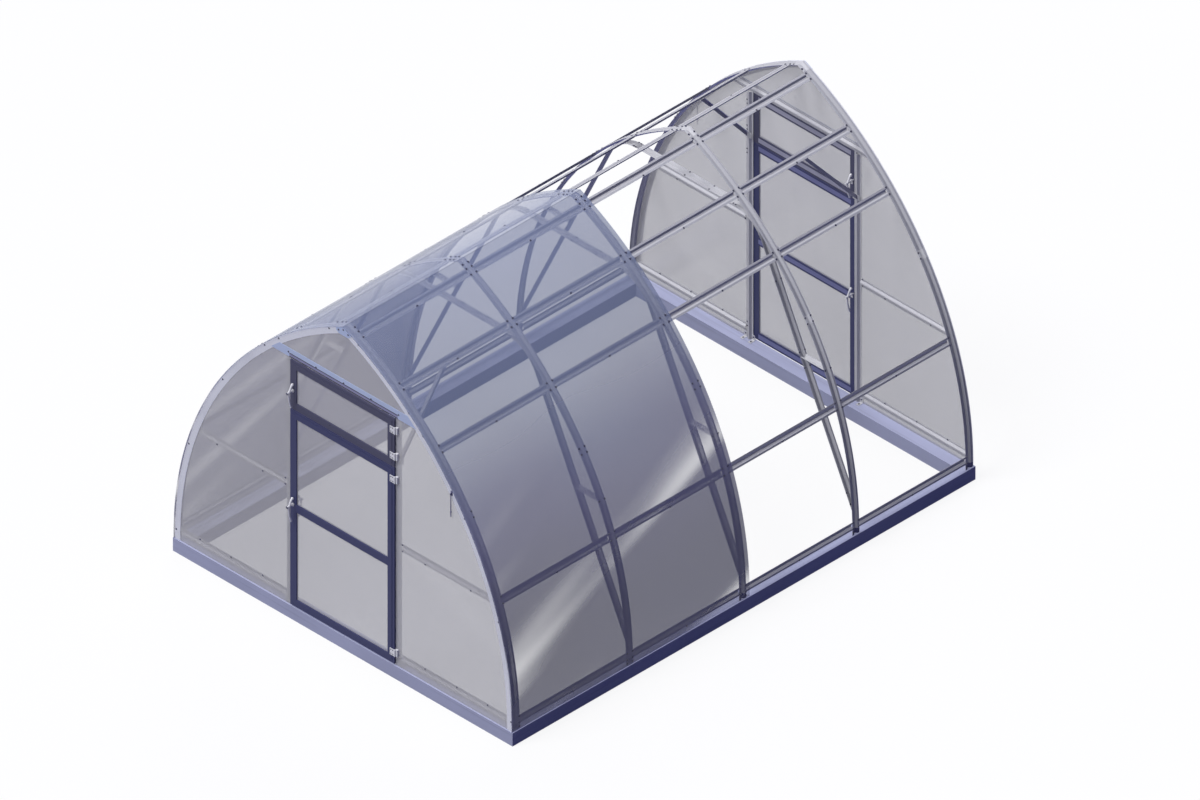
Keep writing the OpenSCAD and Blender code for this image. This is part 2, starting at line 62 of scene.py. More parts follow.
# Places taken from the solids
ARCH_NODES = ("front_arch", "second_arch", "middle_arch", "fourth_arch", "rear_arch")
LEG_NODES = ("second_arch_legs", "middle_arch_legs", "fourth_arch_legs")
PURLIN_NODES = ("bottom_rails", "side_purlins", "shoulder_purlins", "upper_purlins", "ridge_purlins")
ENDS = {"front": 1, "rear": -1}
SIDES = (1, -1)
ARCH_Y = tuple((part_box(name)[0][1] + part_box(name)[1][1]) / 2 for name in ARCH_NODES)
INNER_Y = ARCH_Y[1:-1]
BASE_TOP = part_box("base_front_beam")[1][2]
HALF_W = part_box("middle_arch")[1][0]
COVER_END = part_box("cover_right")[1][1]

# Sizes of the arch and its section
FOOT_H = 0.036
ARCH_RISE = 2.320
ARCH_R = (HALF_W**2 + ARCH_RISE**2) / (2 * HALF_W)
ARCH_C = ARCH_R - HALF_W
SPRING_Z = BASE_TOP + FOOT_H
RIDGE_A = math.acos(ARCH_C / ARCH_R)
FLANGE_MID = 0.02375
STEEL_T = 0.0015
LAP_R = ARCH_R + 0.0018
COVER_R = ARCH_R + 0.0064
SPLICE_Z = 1.530
SPLICE_REACH = 0.020
RIDGE_REACH = 0.040
SHOE_Z = 0.120
PURLIN_Z = (0.172, 1.007, 1.887, 2.192)
RIDGE_PURLIN_OFF = 0.100

# Inner frames: a leg's outer face runs straight from its foot to its knee
LEG_FOOT_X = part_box("middle_arch_legs")[1][0]
LEG_FOOT_Z = 0.290
KNEE_X = 0.6068
TIE_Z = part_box("collar_ties")[1][2]
LEG_SLOPE = math.atan2(TIE_Z - LEG_FOOT_Z, LEG_FOOT_X - KNEE_X)
LEG_FLANGE_MID = 0.0235
LEG_BOLT_Z = (0.325, 0.395, 1.165, 1.262, 1.700)
STRUT_Z = 1.234
TIE_BOLT_X = (0.0, 0.215, 0.430, 0.450)

# Gable planes, measured outwards from the end arch's centre line
GABLE_Y = -ARCH_Y[0]
FLANGE_BACK = 0.0285
PANEL_FACE = 0.0340
LEAF_BACK = 0.0350
LEAF_FACE = 0.0510
STRIP_FACE = 0.0358
LINTEL_FACE = 0.0376
PEAK_FACE = 0.0391
HINGE_FACE = 0.0540
LATCH_FACE = 0.1065
LEVER_FEET = ((0.0515, 1), (0.0205, -1))

# Fixings on the gables: heights, and distances from the centre line
LINTEL_SCREWS = (-0.486, -0.243, 0.0, 0.243, 0.486)
LINTEL_SCREW_Z = 2.025
STRIP_SCREW_DEG = (0.8, 17.0, 33.0, 46.1, 49.9, 62.0)
STRIP_SCREW_IN = 0.009
RAIL_SCREWS = ((0.196, (0.717, 0.997, 1.270)), (0.996, (0.517, 0.717, 1.120)), (1.044, (0.517,)))
POST_X = 0.477
PEAK_SCREWS = ((0.0, 0.022), (0.042, 0.040), (-0.042, 0.040))
RIDGE_Z = SPRING_Z + ARCH_RISE
HINGE_SCREWS = (0.450, 0.434)
HINGE_SCREW_DZ = (-0.015, 0.015)
HINGE_Z = {"vent": (1.702, 1.900), "door": (0.201, 1.524)}
STILE_X = 0.431
STILE_HALF = 0.024
RAIL_Z = (0.144, 0.870, 1.581, 1.645, 1.957)
LATCH_X = -STILE_X
LATCH_Z = {"door": 0.892, "vent": 1.762}
VENT_KNOB = (-0.112, 1.655)
LINTEL_LOW, LINTEL_TOP = (corner[2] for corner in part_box("front_lintel"))
# Height of the upper seam of the lintels' painted shade, as a share of the lintel's height
LIP_SHARE = 0.42
LIP_Z = LINTEL_LOW + (LINTEL_TOP - LINTEL_LOW) * LIP_SHARE

# Painted light and shade bands: half a rail's painted-light band, half a lintel seam of painted shade, the
# run-out of an edge and the depth of a leaf's back
BAND_HALF = 0.015
SEAM_HALF = 0.002
SOFT_EDGE = 0.003
BACK_SKIN = 0.001

# Lever arms: they rise in an S from a lever's knee to a ball beside the leaf
ARM_RISE = 0.047
ARM_NEAR = 0.008
ARM_FAR = 0.042
ARM_STEPS = 8

# Share of a bracket's leg at which its bolt stands
BRACKET_BOLT_AT = 0.62

# Shares of a stud's height and radius: its washer's height, and the lower and upper radii of both parts
WASHER_H = 0.3
WASHER_R = (1.35, 1.2)
HEAD_R = (1.0, 0.72)

# A quarter turn about Z, for coats that run along the house
QUARTER = (0.0, 0.0, math.pi / 2)


def finish_colour(label, rgb, about):
    """A colour property of a finish."""
    return bpy.props.FloatVectorProperty(
        name=label, description=about, default=rgb, subtype="COLOR", size=3, min=0.0, max=1.0
    )


def length(label, metres, about):
    """A length property."""
    return bpy.props.FloatProperty(name=label, description=about, default=metres, unit="LENGTH", min=0.0)


def strength(label, value, about):
    """A light's strength property."""
    return bpy.props.FloatProperty(name=label, description=about, default=value, min=0.0)


class GreenhouseFinishes(bpy.types.PropertyGroup):
    """Colours of the painted and sheeted pieces."""

    beam: finish_colour("Base beams", (0.42, 0.44, 0.61), "Painted timber of the base")
    steel: finish_colour("Frame steel", (0.56, 0.56, 0.59), "Coated steel of arches, purlins and posts")
    saddle: finish_colour("Saddles", (0.64, 0.64, 0.67), "Bare steel of splice and ridge saddles")
    shoe: finish_colour("Foot shoes", (0.07, 0.07, 0.18), "Painted shoes at the arches' feet")
    strip: finish_colour("Edge strips", (0.84, 0.85, 0.92), "Coated strips that clamp the gable sheets")
    lintel: finish_colour("Lintels", (0.52, 0.60, 0.82), "Coated lintel strips and peak plates")
    # Painted shade: this darker colour along the foot of the lintels, with its dark seams, stands in for the
    # shade of a folded lip that has no shape of its own
    lip: finish_colour("Lintel lips", (0.28, 0.28, 0.44), "Folded lip along the foot of the lintels")
    panel: finish_colour("Gable sheets", (0.50, 0.495, 0.52), "Clear sheets of the gables and leaves")
    # Painted light: the cover's colour changes with height from the foot colour to the ridge colour, standing
    # in for light rather than a change in the sheet
    cover: finish_colour("Cover sheets", (0.22, 0.26, 0.40), "Bent sheets of the cover, near the ridge")
    cover_foot_painted_light: finish_colour("Cover foot", (0.22, 0.22, 0.40), "Bent sheets of the cover, near the base")
    leaf: finish_colour("Leaf frames", (0.045, 0.05, 0.13), "Painted frames of the doors")
    vent: finish_colour("Vent frames", (0.068, 0.068, 0.125), "Painted frames of the vents")
    # Painted light: the pale bands on the inner face of the vent and leaf rails stand in for light falling on
    # those faces
    vent_painted_light: finish_colour("Vent frames inside", (0.36, 0.36, 0.46), "Pale band inside the vent frames")
    leaf_painted_light: finish_colour("Leaf frames inside", (0.19, 0.20, 0.38), "Pale band inside the leaf frames")
    fitting: finish_colour("Fittings", (0.78, 0.78, 0.82), "Plated hinges and latches")
    hook: finish_colour("Wind hooks", (0.09, 0.09, 0.20), "Painted wind hooks")
    bolt: finish_colour("Bolts", (0.05, 0.05, 0.09), "Blackened bolts and screws")


class GreenhouseFixings(bpy.types.PropertyGroup):
    """Sizes of bolts and screws."""

    bolt_r: length("Bolt head", 0.0056, "Radius of the bolt heads on the frame")
    bolt_h: length("Bolt height", 0.0035, "Height of the bolt heads with their washers")
    nut_r: length("Nut", 0.0048, "Radius of the nuts inside the frame")
    screw_r: length("Screw head", 0.0055, "Radius of the screw heads on the gables")
    screw_h: length("Screw height", 0.0030, "Height of the screw heads with their washers")
    hinge_screw_r: length("Hinge screw", 0.0035, "Radius of the screws in the hinges")
    cap_r: length("Lever cap", 0.0075, "Radius of the caps on the latch levers")
    arm_r: length("Lever arm", 0.0072, "Radius of the arms on the latch levers")
    ball_r: length("Lever ball", 0.0100, "Radius of the balls on the lever arms")
    bracket_w: length("Bracket width", 0.024, "Width of the brackets at the posts' feet")
    bracket_l: length("Bracket leg", 0.040, "Length of each leg of the brackets")
    bracket_t: length("Bracket thickness", 0.0025, "Thickness of the brackets")
    bracket_off: length("Bracket offset", 0.034, "Distance from a post's centre line to its brackets")


class GreenhouseStudio(bpy.types.PropertyGroup):
    """Light and floor of the studio."""

    key: strength("Key light", 1.5, "Strength of the main light")
    even: strength("Even light", 1.7, "Strength of a light beside the main one that casts no shadow")
    fill: strength("Fill light", 0.6, "Strength of the rear light")
    rising: strength("Rising light", 1.0, "Strength of a light from below that casts no shadow")
    rising_colour: finish_colour("Rising tint", (0.26, 0.28, 1.0), "Colour of the light from below")
    ambient: finish_colour("Ambient", (0.046, 0.05, 0.145), "Light from all around")
    floor: length("Floor", 60.0, "Side of the floor")


PROPERTY_GROUPS = {
    "greenhouse_finishes": GreenhouseFinishes,
    "greenhouse_fixings": GreenhouseFixings,
    "greenhouse_studio": GreenhouseStudio,
}


# Node helpers
def add(tree, kind, inputs=None, **settings):
    """A node with its settings, and with each input linked to a socket or set to a value."""
    made = tree.nodes.new(kind)
    for key, value in settings.items():
        setattr(made, key, value)
    for key, value in (inputs or {}).items():
        if isinstance(value, bpy.types.NodeSocket):
            tree.links.new(value, made.inputs[key])
        else:
            made.inputs[key].default_value = value
    return made


def math_node(tree, operation, a, b=0.0):
    """The result of a sum on two values."""
    return add(tree, "ShaderNodeMath", {0: a, 1: b}, operation=operation).outputs[0]


def mix_colour(tree, factor, a, b):
    """A colour between a and b."""
    return add(tree, "ShaderNodeMix", {0: factor, 6: a, 7: b}, data_type="RGBA").outputs[2]


def scale_colour(tree, colour, value):
    """A colour made lighter or darker by a value."""
    return add(tree, "ShaderNodeVectorMath", {0: colour, "Scale": value}, operation="SCALE").outputs[0]


def ramp(tree, value, low, high, out_low=0.0, out_high=1.0):
    """A value carried smoothly from one range to another."""
    made = add(
        tree,
        "ShaderNodeMapRange",
        {"Value": value, "From Min": low, "From Max": high, "To Min": out_low, "To Max": out_high},
        interpolation_type="SMOOTHSTEP",
    )
    return made.outputs["Result"]


def noise(tree, vector, scale, detail=3.0):
    """A noise value at a scale per metre."""
    made = add(tree, "ShaderNodeTexNoise", {"Vector": vector, "Scale": scale, "Detail": detail})
    return made.outputs["Fac"]


def stretched(tree, vector, scale, turn=(0.0, 0.0, 0.0)):
    """A vector turned and scaled on its axes."""
    made = add(tree, "ShaderNodeMapping", {"Vector": vector, "Scale": scale, "Rotation": turn})
    return made.outputs["Vector"]


def slanted(tree, vector, turn, lengths):
    """A vector turned first, then measured in lengths along its new axes."""
    measured = {"Vector": vector, "Rotation": turn, "Scale": lengths}
    return add(tree, "ShaderNodeMapping", measured, vector_type="TEXTURE").outputs["Vector"]


def new_group(name, inputs, outputs):
    """An empty shader group: its tree, its given sockets and its output sockets."""
    tree = bpy.data.node_groups.new(name, "ShaderNodeTree")
    for label, kind in inputs.items():
        tree.interface.new_socket(label, in_out="INPUT", socket_type="NodeSocket" + kind)
    for label, kind in outputs.items():
        tree.interface.new_socket(label, in_out="OUTPUT", socket_type="NodeSocket" + kind)
    given = tree.nodes.new("NodeGroupInput").outputs
    return tree, given, tree.nodes.new("NodeGroupOutput").inputs


def weathered_paint():
    """Group: paint with broad mottling, fine speckle and patches of dust."""
    tree, given, out = new_group(
        "Weathered paint",
        {"Vector": "Vector", "Colour": "Color", "Dust": "Color", "Amount": "Float", "Roughness": "Float"},
        {"Colour": "Color", "Roughness": "Float", "Height": "Float"},
    )
    broad = noise(tree, given["Vector"], 2.2)
    fine = noise(tree, given["Vector"], 160.0, 2.0)
    dusty = math_node(tree, "MULTIPLY", ramp(tree, broad, 0.42, 0.72), given["Amount"])
    dusted = mix_colour(tree, dusty, given["Colour"], given["Dust"])
    speckle = ramp(tree, fine, 0.35, 0.65, 0.96, 1.02)
    tree.links.new(scale_colour(tree, dusted, speckle), out["Colour"])
    spread = ramp(tree, broad, 0.3, 0.7, -0.06, 0.08)
    tree.links.new(math_node(tree, "ADD", given["Roughness"], spread), out["Roughness"])
    tree.links.new(fine, out["Height"])
    return tree


def timber_grain():
    """Group: painted timber whose grain shows through along X of the vector."""
    tree, given, out = new_group(
        "Timber grain",
        {"Vector": "Vector", "Colour": "Color", "Groove": "Color"},
        {"Colour": "Color", "Roughness": "Float", "Height": "Float"},
    )
    grain = noise(tree, stretched(tree, given["Vector"], (1.4, 46.0, 46.0)), 1.0, 6.0)
    broad = noise(tree, given["Vector"], 1.6)
    deep = ramp(tree, grain, 0.52, 0.74, 0.0, 0.45)
    coloured = mix_colour(tree, deep, given["Colour"], given["Groove"])
    tone = ramp(tree, broad, 0.3, 0.7, 0.94, 1.05)
    tree.links.new(scale_colour(tree, coloured, tone), out["Colour"])
    tree.links.new(ramp(tree, grain, 0.3, 0.7, 0.5, 0.68), out["Roughness"])
    tree.links.new(grain, out["Height"])
    return tree


def clear_sheet():
    """Group: wavy clear sheet with painted light: its tint runs with height from the low colour to the upper
    one, it is denser below its middle as painted shade, and clearer streaks low down stand in for glints as
    painted reflections.
    """
    tree, given, out = new_group(
        "Clear sheet",
        {"Vector": "Vector", "Colour": "Color", "Low colour": "Color", "Alpha": "Float", "Streaks": "Float"},
        {"Colour": "Color", "Roughness": "Float", "Alpha": "Float", "Height": "Float"},
    )
    height = add(tree, "ShaderNodeSeparateXYZ", {0: given["Vector"]}).outputs["Z"]
    film = noise(tree, given["Vector"], 0.9, 1.0)
    wavering = math_node(tree, "ADD", height, ramp(tree, film, 0.3, 0.7, -0.12, 0.12))
    # Painted light: the tint changes with height, from the low colour up to the upper colour
    tone = mix_colour(tree, ramp(tree, wavering, 1.15, 1.95), given["Low colour"], given["Colour"])
    tree.links.new(scale_colour(tree, tone, ramp(tree, film, 0.3, 0.7, 0.96, 1.04)), out["Colour"])
    tree.links.new(ramp(tree, film, 0.3, 0.7, 0.12, 0.22), out["Roughness"])
    # Painted reflection: this noise clears streaks in the sheet low down, standing in for glints; it also
    # gives the sheet its waves
    glint_and_wave = noise(tree, slanted(tree, given["Vector"], (0.0, 0.34, 0.0), (3.0, 2.0, 0.34)), 1.0, 1.0)
    # Painted shade: the sheet is made denser below its middle height
    painted_shade_density = ramp(tree, height, 1.45, 1.95, 0.36, 0.0)
    low = ramp(tree, height, 1.1, 1.6, 1.0, 0.0)
    painted_glint_streak = math_node(tree, "MULTIPLY", ramp(tree, glint_and_wave, 0.48, 0.72, 0.0, 1.3), low)
    painted_light_clearing = math_node(tree, "MULTIPLY", math_node(tree, "SUBTRACT", painted_glint_streak, painted_shade_density), given["Streaks"])
    tree.links.new(math_node(tree, "SUBTRACT", given["Alpha"], painted_light_clearing), out["Alpha"])
    tree.links.new(glint_and_wave, out["Height"])
    return tree


GROUP_MAKERS = {
    "Weathered paint": weathered_paint,
    "Timber grain": timber_grain,
    "Clear sheet": clear_sheet,
}


def rgba(colour):
    """A colour with full alpha."""
    return (*colour, 1.0)


def new_material(name, colour, effect_name, values, turn=None):
    """A node material with one shared effect: the material, its tree, shader and effect."""
    made = bpy.data.materials.new(name)
    made.diffuse_color = rgba(colour)
    made.use_nodes = True
    tree = made.node_tree
    shader = tree.nodes["Principled BSDF"]
    vector = tree.nodes.new("ShaderNodeTexCoord").outputs["Object"]
    if turn:
        vector = stretched(tree, vector, (1.0, 1.0, 1.0), turn)
    shared = bpy.data.node_groups.get(effect_name) or GROUP_MAKERS[effect_name]()
    effect = add(tree, "ShaderNodeGroup", node_tree=shared)
    tree.links.new(vector, effect.inputs["Vector"])
    for label, value in {"Colour": rgba(colour), **values}.items():
        effect.inputs[label].default_value = value
    for label, socket in {"Colour": "Base Color", "Roughness": "Roughness", "Alpha": "Alpha"}.items():
        if label in effect.outputs:
            tree.links.new(effect.outputs[label], shader.inputs[socket])
    return made, tree, shader, effect


def bumped(tree, shader, height, depth, amount):
    """Links a height to the shader's normal."""
    bump = add(tree, "ShaderNodeBump", {"Strength": amount, "Distance": depth, "Height": height})
    tree.links.new(bump.outputs["Normal"], shader.inputs["Normal"])


def coloured(tree, shader, colour):
    """Links a colour to the shader, darker where it only sends bounced light on."""
    bounce = tree.nodes.new("ShaderNodeLightPath").outputs["Is Diffuse Ray"]
    kept = math_node(tree, "SUBTRACT", 1.0, math_node(tree, "MULTIPLY", bounce, BOUNCE_LOSS))
    tree.links.new(scale_colour(tree, colour, kept), shader.inputs["Base Color"])


def coated(name, colour, dust, roughness, metallic, amount):
    """Painted or plated metal: the material, its tree, shader and effect."""
    values = {"Dust": rgba(dust), "Amount": amount, "Roughness": roughness}
    made, tree, shader, effect = new_material(name, colour, "Weathered paint", values)
    shader.inputs["Metallic"].default_value = metallic
    shader.inputs["Specular IOR Level"].default_value = 0.2
    bumped(tree, shader, effect.outputs["Height"], depth=0.0004, amount=0.15)
    coloured(tree, shader, effect.outputs["Colour"])
    return made, tree, shader, effect


def paint(name, colour, dust, roughness=0.5, metallic=0.0, amount=0.35):
    """Painted or plated metal."""
    return coated(name, colour, dust, roughness, metallic, amount)[0]


def nearest(tree, value, marks):
    """The distance from a value to the nearest of some marks."""
    gaps = [math_node(tree, "ABSOLUTE", math_node(tree, "SUBTRACT", value, mark)) for mark in marks]
    found = gaps[0]
    for gap in gaps[1:]:
        found = math_node(tree, "MINIMUM", found, gap)
    return found


def object_place(tree):
    """X, Y and Z of a point in the object's own coordinates."""
    vector = tree.nodes["Texture Coordinate"].outputs["Object"]
    return add(tree, "ShaderNodeSeparateXYZ", {0: vector}).outputs


def within(tree, value, limit, edge=SOFT_EDGE):
    """1 up to a limit, and 0 beyond its soft edge."""
    return ramp(tree, value, limit, limit + edge, 1.0, 0.0)


def leaf_paint(name, colour, band, dust):
    """Paint of the leaf frames, with painted light: a paler band along the inner face of each rail stands in
    for the light that falls on that face.
    """
    made, tree, shader, effect = coated(name, colour, dust, roughness=0.5, metallic=0.0, amount=0.3)
    place = object_place(tree)
    # Painted light: a paler band on the inner face of each rail, away from the stiles
    on_rail = within(tree, nearest(tree, place["Z"], RAIL_Z), BAND_HALF)
    off_stile = within(tree, math_node(tree, "ABSOLUTE", place["X"]), STILE_X - STILE_HALF)
    middle = math_node(tree, "MULTIPLY", on_rail, off_stile)
    back = GABLE_Y + LEAF_BACK + BACK_SKIN / 2
    inner = within(tree, math_node(tree, "ABSOLUTE", place["Y"]), back, BACK_SKIN)
    painted_light_band = scale_colour(tree, tuple(band), ramp(tree, effect.outputs["Height"], 0.35, 0.65, 0.95, 1.03))
    painted_light_mask = math_node(tree, "MULTIPLY", middle, inner)
    coloured(tree, shader, mix_colour(tree, painted_light_mask, effect.outputs["Colour"], painted_light_band))
    return made


def lintel_paint(name, colour, lip, dust):
    """Paint of the lintels, with painted shade: a darker band between two dark seams along the foot between
    the door posts stands in for the shade of a folded lip.
    """
    made, tree, shader, effect = coated(name, colour, dust, roughness=0.5, metallic=0.0, amount=0.35)
    place = object_place(tree)
    between = within(tree, math_node(tree, "ABSOLUTE", place["X"]), POST_X)
    # Painted shade: dark seams, and a darker band below the upper seam between the door posts
    seam_shade_gap = nearest(tree, place["Z"], (LINTEL_LOW + SEAM_HALF, LIP_Z))
    painted_lip_shade = scale_colour(tree, tuple(lip), ramp(tree, seam_shade_gap, SEAM_HALF, SEAM_HALF + SOFT_EDGE))
    lip_shade_mask = math_node(tree, "MULTIPLY", between, within(tree, place["Z"], LIP_Z + SEAM_HALF / 2, SEAM_HALF))
    coloured(tree, shader, mix_colour(tree, lip_shade_mask, effect.outputs["Colour"], painted_lip_shade))
    return made


def timber(name, colour, groove, turn):
    """Painted timber with its grain along X, or along Y with a quarter turn."""
    made, tree, shader, effect = new_material(name, colour, "Timber grain", {"Groove": rgba(groove)}, turn)
    shader.inputs["Specular IOR Level"].default_value = 0.06
    bumped(tree, shader, effect.outputs["Height"], depth=0.001, amount=0.25)
    coloured(tree, shader, effect.outputs["Colour"])
    return made


def sheet(name, colour, low_colour, alpha, painted_light_share, turn=None):
    """Clear sheet that lets most of the lamps' light through."""
    # The shared group paints light into the sheet: its tint by height, with painted shade and painted
    # reflection in its alpha
    values = {"Low colour": rgba(low_colour), "Alpha": alpha, "Streaks": painted_light_share}
    made, tree, shader, effect = new_material(name, colour, "Clear sheet", values, turn)
    shader.inputs["IOR"].default_value = 1.58
    shader.inputs["Specular IOR Level"].default_value = 0.3
    bumped(tree, shader, effect.outputs["Height"], depth=0.01, amount=0.3)
    lamp = tree.nodes.new("ShaderNodeLightPath").outputs["Is Shadow Ray"]
    passed = math_node(tree, "MULTIPLY", lamp, LAMP_SHARE)
    clear = tree.nodes.new("ShaderNodeBsdfTransparent")
    lit = add(tree, "ShaderNodeMixShader", {0: passed, 1: shader.outputs[0], 2: clear.outputs[0]})
    tree.links.new(lit.outputs[0], tree.nodes["Material Output"].inputs["Surface"])
    made.surface_render_method = "BLENDED"
    return made


def dress(material, *names):
    """Gives CAD nodes a material."""
    for name in names:
        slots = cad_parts[name].data.materials
        slots.clear()
        slots.append(material)


# Mesh helpers
def stud(bm, seat, outwards, radius, height):
    """A washer with a domed hexagonal head on a seat, standing outwards."""
    turn = Vector(outwards).to_track_quat("Z", "Y").to_matrix().to_4x4()
    place = Matrix.Translation(Vector(seat)) @ turn
    washer_h = height * WASHER_H
    for segments, (low, high), z0, z1 in ((8, WASHER_R, 0.0, washer_h), (6, HEAD_R, washer_h, height)):
        bmesh.ops.create_cone(
            bm,
            cap_ends=True,
            segments=segments,
            radius1=radius * low,
            radius2=radius * high,
            depth=z1 - z0,
            matrix=place @ Matrix.Translation((0.0, 0.0, (z0 + z1) / 2)),
        )


def fold_brackets(bm, places, foot, fixings):
    """Angle brackets, each bent from one strip, with legs up and towards +Y from a foot at (y, z)."""
    y, z = foot
    leg = fixings.bracket_l
    for x in places:
        left = x - fixings.bracket_w / 2
        strip = [bm.verts.new((left, y + dy, z + dz)) for dy, dz in ((0, leg), (0, 0), (leg, 0))]
        edges = [bm.edges.new(ends) for ends in zip(strip, strip[1:])]
        grown = bmesh.ops.extrude_edge_only(bm, edges=edges)["geom"]
        moved = [part for part in grown if isinstance(part, bmesh.types.BMVert)]
        bmesh.ops.translate(bm, verts=moved, vec=(fixings.bracket_w, 0.0, 0.0))
    folds = [edge for edge in bm.edges if len(edge.link_faces) == 2]
    radius = fixings.bracket_t * 2
    bmesh.ops.bevel(bm, geom=folds, offset=radius, affect="EDGES", segments=3, profile=0.5, material=-1)
    bmesh.ops.recalc_face_normals(bm, faces=bm.faces[:])
    bmesh.ops.solidify(bm, geom=bm.faces[:], thickness=fixings.bracket_t)


def lever_arm(bm, start, near, far, rise, fixings):
    """A round arm that drops in an S from a ball at its near end to its far end."""
    path = []
    for step in range(ARM_STEPS + 1):
        share = step / ARM_STEPS
        up = rise * (1 + math.cos(math.pi * share)) / 2
        path.append(start + near.lerp(far, share) + Vector((0.0, 0.0, up)))
    last_ring = None
    for index, point in enumerate(path):
        ahead = path[min(index + 1, ARM_STEPS)] - path[max(index - 1, 0)]
        place = Matrix.Translation(point) @ ahead.to_track_quat("Z", "Y").to_matrix().to_4x4()
        end = index in (0, ARM_STEPS)
        made = bmesh.ops.create_circle(bm, cap_ends=end, segments=10, radius=fixings.arm_r, matrix=place)
        ring = list({edge for vert in made["verts"] for edge in vert.link_edges})
        if last_ring:
            bmesh.ops.bridge_loops(bm, edges=last_ring + ring)
        last_ring = ring
    ball = Matrix.Translation(path[0])
    bmesh.ops.create_uvsphere(bm, u_segments=12, v_segments=8, radius=fixings.ball_r, matrix=ball)
    bmesh.ops.recalc_face_normals(bm, faces=bm.faces[:])


def piece(name, bm, material, body):
    """An object from a bmesh, riding on a body with the finish of a slot."""
    mesh = bpy.data.meshes.new(name)
    bm.to_mesh(mesh)
    bm.free()
    mesh.materials.append(material)
    made = bpy.data.objects.new(name, mesh)
    bpy.context.scene.collection.objects.link(made)
    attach(made, body)


def on_arch(angle, radius, y, side):
    """A point on an arch and its outward direction; side 1 is the right, -1 the left."""
    out = Vector((math.cos(angle) * side, 0.0, math.sin(angle)))
    return Vector((-ARCH_C * side, y, SPRING_Z)) + out * radius, out


def rise_angle(z):
    """The angle on the arch at a height."""
    return math.asin((z - SPRING_Z) / ARCH_R)


def fixing_radius(y):
    """Where bolt heads sit: on the cover where it lies over the arch, else on the laps."""
    return COVER_R if y < COVER_END else LAP_R


def flange_offsets(y):
    """The flanges of an arch that take bolts: both, or the inner one on the end arches."""
    if abs(y) < GABLE_Y:
        return (-FLANGE_MID, FLANGE_MID)
    return (-math.copysign(FLANGE_MID, y),)


def bolt_arches(bm, angles, reaches, fixings, rows=ARCH_Y):
    """Bolts round each angle on the arches' flanges, with their nuts on the inner side."""
    for y, angle, side in product(rows, angles, SIDES):
        for across, along in product(flange_offsets(y), reaches):
            turned = angle + along / ARCH_R
            seat, out = on_arch(turned, fixing_radius(y), y + across, side)
            stud(bm, seat, out, fixings.bolt_r, fixings.bolt_h)
            seat, out = on_arch(turned, ARCH_R - STEEL_T, y + across, side)
            stud(bm, seat, -out, fixings.nut_r, fixings.bolt_h)


def bolt_bays(bm, angles, fixings):
    """One screw in the middle of each bay on the lower flange of every purlin."""
    for start, end in zip(ARCH_Y, ARCH_Y[1:]):
        for angle, side in product(angles, SIDES):
            y = (start + end) / 2
            seat, out = on_arch(angle - FLANGE_MID / ARCH_R, fixing_radius(y), y, side)
            stud(bm, seat, out, fixings.bolt_r, fixings.bolt_h)


def bolt_legs(bm, fixings):
    """Bolts along the inner legs' flanges and the collar ties, with their nuts on the other side."""
    for y, side, across in product(INNER_Y, SIDES, (-LEG_FLANGE_MID, LEG_FLANGE_MID)):
        out = Vector((math.sin(LEG_SLOPE) * side, 0.0, math.cos(LEG_SLOPE)))
        for z in LEG_BOLT_Z:
            seat = Vector(((LEG_FOOT_X - (z - LEG_FOOT_Z) / math.tan(LEG_SLOPE)) * side, y + across, z))
            stud(bm, seat, out, fixings.nut_r, fixings.bolt_h)
            stud(bm, seat - out * STEEL_T, -out, fixings.nut_r, fixings.bolt_h)
        up = Vector((0.0, 0.0, 1.0))
        for x in TIE_BOLT_X:
            seat = Vector((x * side, y + across, TIE_Z))
            stud(bm, seat, up, fixings.nut_r, fixings.bolt_h)


def gable_turn(facing):
    """The turn that carries pieces of the front gable to a gable."""
    return Matrix.Rotation(0.0 if facing == 1 else math.pi, 4, "Z")


def on_gable(facing, x, z, plane):
    """A point on a plane of a gable."""
    return gable_turn(facing) @ Vector((x, -GABLE_Y - plane, z))


def gable_out(facing):
    """The outward direction of a gable."""
    return gable_turn(facing) @ Vector((0.0, -1.0, 0.0))


def leaf_body(end, leaf, moving):
    """The body that carries pieces of a leaf: vents stay with the house."""
    return f"{end}_{moving}" if leaf == "door" else "house"


def screw_gable(bm, facing, fixings):
    """Screws of a gable's lintel, peak plate, strips and rails, and the nuts behind its hinges."""
    out = gable_out(facing)

    def drive(x, z, plane, radius, way=1):
        stud(bm, on_gable(facing, x, z, plane), out * way, radius, fixings.screw_h)

    for x in LINTEL_SCREWS:
        drive(x, LINTEL_SCREW_Z, LINTEL_FACE, fixings.screw_r)
    for x, down in PEAK_SCREWS:
        drive(x, RIDGE_Z - down, PEAK_FACE, fixings.screw_r)
    for degrees, side in product(STRIP_SCREW_DEG, SIDES):
        seat, _ = on_arch(math.radians(degrees), ARCH_R - STRIP_SCREW_IN, 0.0, side)
        drive(seat.x, seat.z, STRIP_FACE, fixings.screw_r)
    for z, places in RAIL_SCREWS:
        for x, side in product(places, SIDES):
            drive(x * side, z, PANEL_FACE, fixings.nut_r)
            drive(x * side, z, FLANGE_BACK, fixings.nut_r, -1)
    for z, dz in product((*HINGE_Z["vent"], *HINGE_Z["door"]), HINGE_SCREW_DZ):
        drive(POST_X + FLANGE_MID, z + dz, FLANGE_BACK, fixings.nut_r, -1)


class GreenhouseOperator(bpy.types.Operator):
    """Shared settings of the greenhouse's operators."""

    bl_options = {"REGISTER", "UNDO"}


